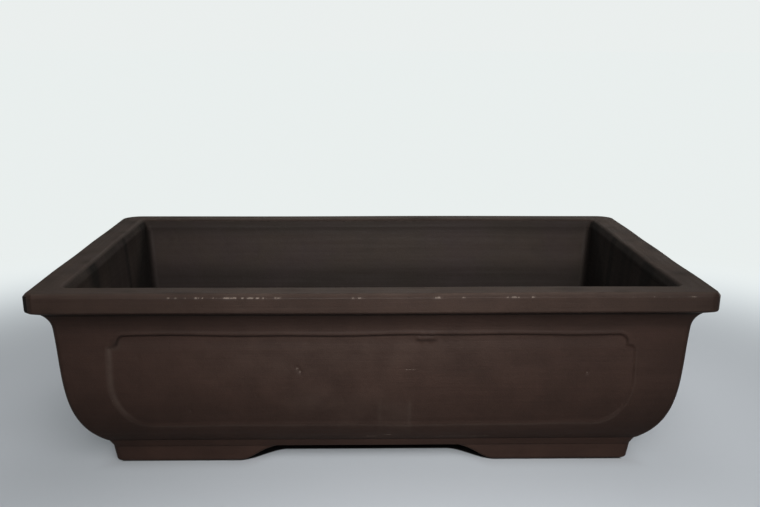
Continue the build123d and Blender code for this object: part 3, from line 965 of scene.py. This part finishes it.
# how far from the pot the floor starts to brighten and is fully bright, and how its brightness
# rises from left to right, a painted shade on the left as if lit from the right: from where to where,
# and from what to what
BRIGHTENING = (0.27, 0.8)
TILT = (-0.42, 0.3, 0.87, 1.03)
STAGE_REACH, STAGE_RINGS, STAGE_SPOKES = 40, 30, 96
# half sizes of the painted shadow on the floor under the pot, wider where the feet stand than between
# them
SHADE_LONG, SHADE_SHORT, SHADE_SHORT_AT_FEET = 0.178, 0.0905, 0.112
SHADE_WIDENING = (0.058, 0.092)     # from where to where beside the gap's middle it widens

WARM, WARMEST, NEUTRAL = (1.0, 0.96, 0.92), (1.0, 0.95, 0.88), (1.0, 0.97, 0.94)
# name, place, aim, size, power, colour
SOFT_LIGHTS = (
    ("window", (0.4, -1.7, 1.5), (0, 0, 0.05), (1.5, 1.1), 12.5, WARM),
    ("middle", (0.25, -1.6, 0.9), (0, 0, 0.05), (0.7, 0.5), 2.5, WARM),
    ("near", (0.03, -0.85, 0.36), (0, 0, 0.05), (0.25, 0.2), 0.9, WARM),
    ("back", (0.2, 1.5, 1.2), (0, 0, 0.05), (1.6, 1.0), 5.2, WARMEST),
    ("top", (0.1, 0.1, 1.9), (0, 0, 0.05), (1.2, 1.2), 5.0, NEUTRAL),
    ("low_back_left", (-1.3, 1.35, 0.07), (0, 0, 0.07), (1.0, 0.1), 14.0, NEUTRAL),
    ("low_back_right", (1.3, 1.35, 0.07), (0, 0, 0.07), (1.0, 0.1), 14.0, NEUTRAL),
)
# place, aim, cone, power, colour
SPOT = ((0.06, -1.25, 0.55), (0.03, -0.16, 0.10), radians(27), 32.0, WARM)


def under_pot(nodes, ways):
    """How far outside the painted shadow under the pot a place of the floor is, negative inside."""
    from_gap = nodes.maths("ABSOLUTE", nodes.maths("ADD", ways["X"], -FRONT_GAP_SHIFT * MM), 0)
    half_short = nodes.span(from_gap, *SHADE_WIDENING, SHADE_SHORT, SHADE_SHORT_AT_FEET)
    along = nodes.maths("ABSOLUTE", ways["X"], 0)
    deep = nodes.maths("ABSOLUTE", ways["Y"], 0)
    return nodes.maths("MAXIMUM", nodes.maths("SUBTRACT", along, SHADE_LONG),
                       nodes.maths("SUBTRACT", deep, half_short))


def floor_material():
    """Pale near the pot, painted darker to the left, glowing white far off, a painted shadow under the
    pot.
    """
    material = bpy.data.materials.new("studio_floor")
    material.use_nodes = True
    nodes = Nodes(material.node_tree)
    shader = material.node_tree.nodes["Principled BSDF"]
    place = nodes.make("ShaderNodeTexCoord").outputs["Object"]
    ways = nodes.make("ShaderNodeSeparateXYZ", {"Vector": place}).outputs
    reach = nodes.make("ShaderNodeVectorMath", {0: place}, operation="LENGTH").outputs["Value"]
    far = nodes.span(reach, *BRIGHTENING)
    # painted shade: the floor darker to the left, as if lit from the right
    tilt = nodes.span(ways["X"], *TILT)
    beside = under_pot(nodes, ways)
    lit = nodes.span(beside, 0.0, 0.002)
    colour = nodes.mix(far, nodes.mix(1.0, NEAR_FLOOR, tilt, "MULTIPLY"), FAR_FLOOR)
    # painted shadow under the pot
    colour = nodes.mix(lit, SHADED_FLOOR, colour)
    glow = nodes.span(far, 0, 1, nodes.maths("MULTIPLY", tilt, NEAR_GLOW), FAR_GLOW)
    edge_shade = nodes.span(beside, 0, 0.02, 0.5, 1)
    glow = nodes.maths("MULTIPLY", glow, nodes.maths("MULTIPLY", lit, edge_shade))
    seen = nodes.make("ShaderNodeLightPath").outputs["Is Camera Ray"]
    colour = nodes.mix(seen, GREY_FLOOR, colour)
    nodes.tree.links.new(colour, shader.inputs["Base Color"])
    nodes.tree.links.new(nodes.mix(far, NEAR_SHINE, FAR_SHINE), shader.inputs["Emission Color"])
    nodes.tree.links.new(nodes.maths("MULTIPLY", glow, seen), shader.inputs["Emission Strength"])
    shader.inputs["Roughness"].default_value = 0.9
    shader.inputs["Specular IOR Level"].default_value = 0.0
    return material


def build_stage():
    """A wide round floor, its rings closer together near the pot."""
    rings = np.linspace(0.05, 1.0, STAGE_RINGS) ** 2 * STAGE_REACH
    around = np.linspace(0, 2 * pi, STAGE_SPOKES, endpoint=False)
    points = [(r * cos(a), r * sin(a), 0) for r in rings for a in around] + [(0, 0, 0)]
    here = np.arange(STAGE_RINGS * STAGE_SPOKES).reshape(STAGE_RINGS, STAGE_SPOKES)
    ahead = np.roll(here, -1, axis=1)
    quads = np.stack([here[:-1], here[1:], ahead[1:], ahead[:-1]], axis=-1).reshape(-1, 4)
    hub = [(len(points) - 1, int(i), int(j)) for i, j in zip(here[0], ahead[0])]
    mesh = bpy.data.meshes.new("studio_floor")
    mesh.from_pydata(points, [], quads.tolist() + hub)
    mesh.materials.append(floor_material())
    floor = bpy.data.objects.new("studio_floor", mesh)
    bpy.context.scene.collection.objects.link(floor)


def build_world():
    """A dim soft sky, white where it is looked at directly."""
    world = bpy.data.worlds.new("studio")
    world.use_nodes = True
    nodes = Nodes(world.node_tree)
    background = world.node_tree.nodes["Background"]
    seen = nodes.make("ShaderNodeLightPath").outputs["Is Camera Ray"]
    strength = nodes.span(seen, 0, 1, SKY_LIGHT, SKY_SEEN)
    nodes.tree.links.new(strength, background.inputs["Strength"])
    background.inputs["Color"].default_value = SKY_SHINE
    bpy.context.scene.world = world
    bpy.context.scene.view_settings.view_transform = "Standard"


def place_light(name, data, place, aim, power, color):
    """Puts a light at its place, turned to its aim."""
    data.energy = power
    data.color = color
    light = bpy.data.objects.new(name, data)
    light.location = place
    light.rotation_euler = (Vector(aim) - Vector(place)).to_track_quat("-Z", "Y").to_euler()
    light.visible_camera = False
    bpy.context.scene.collection.objects.link(light)


def build_lights():
    """Soft lights round the pot, and a spot on the front of the pot."""
    for name, place, aim, size, power, color in SOFT_LIGHTS:
        data = bpy.data.lights.new(name, "AREA")
        data.shape = "RECTANGLE"
        data.size, data.size_y = size
        place_light(name, data, place, aim, power, color)
    place, aim, cone, power, color = SPOT
    data = bpy.data.lights.new("spot", "SPOT")
    data.spot_size = cone
    data.spot_blend = 1.0
    data.shadow_soft_size = 0.12
    place_light("spot", data, place, aim, power, color)


def build_camera():
    """The camera, turned by its yaw, tilted down at the pot and rolled a little."""
    forward = Vector((sin(YAW) * cos(PITCH), cos(YAW) * cos(PITCH), -sin(PITCH)))
    right = Vector((cos(YAW), -sin(YAW), 0))
    up = right.cross(forward)
    turned_right = cos(ROLL) * right + sin(ROLL) * up
    turned_up = cos(ROLL) * up - sin(ROLL) * right
    data = bpy.data.cameras.new("camera")
    data.sensor_width = SENSOR
    data.lens = LENS
    camera = bpy.data.objects.new("camera", data)
    axes = Matrix((turned_right, turned_up, -forward)).transposed()
    camera.matrix_world = Matrix.Translation(Vector(CAMERA_PLACE)) @ axes.to_4x4()
    bpy.context.scene.collection.objects.link(camera)
    bpy.context.scene.camera = camera


build_stage()
build_world()
build_lights()
build_camera()
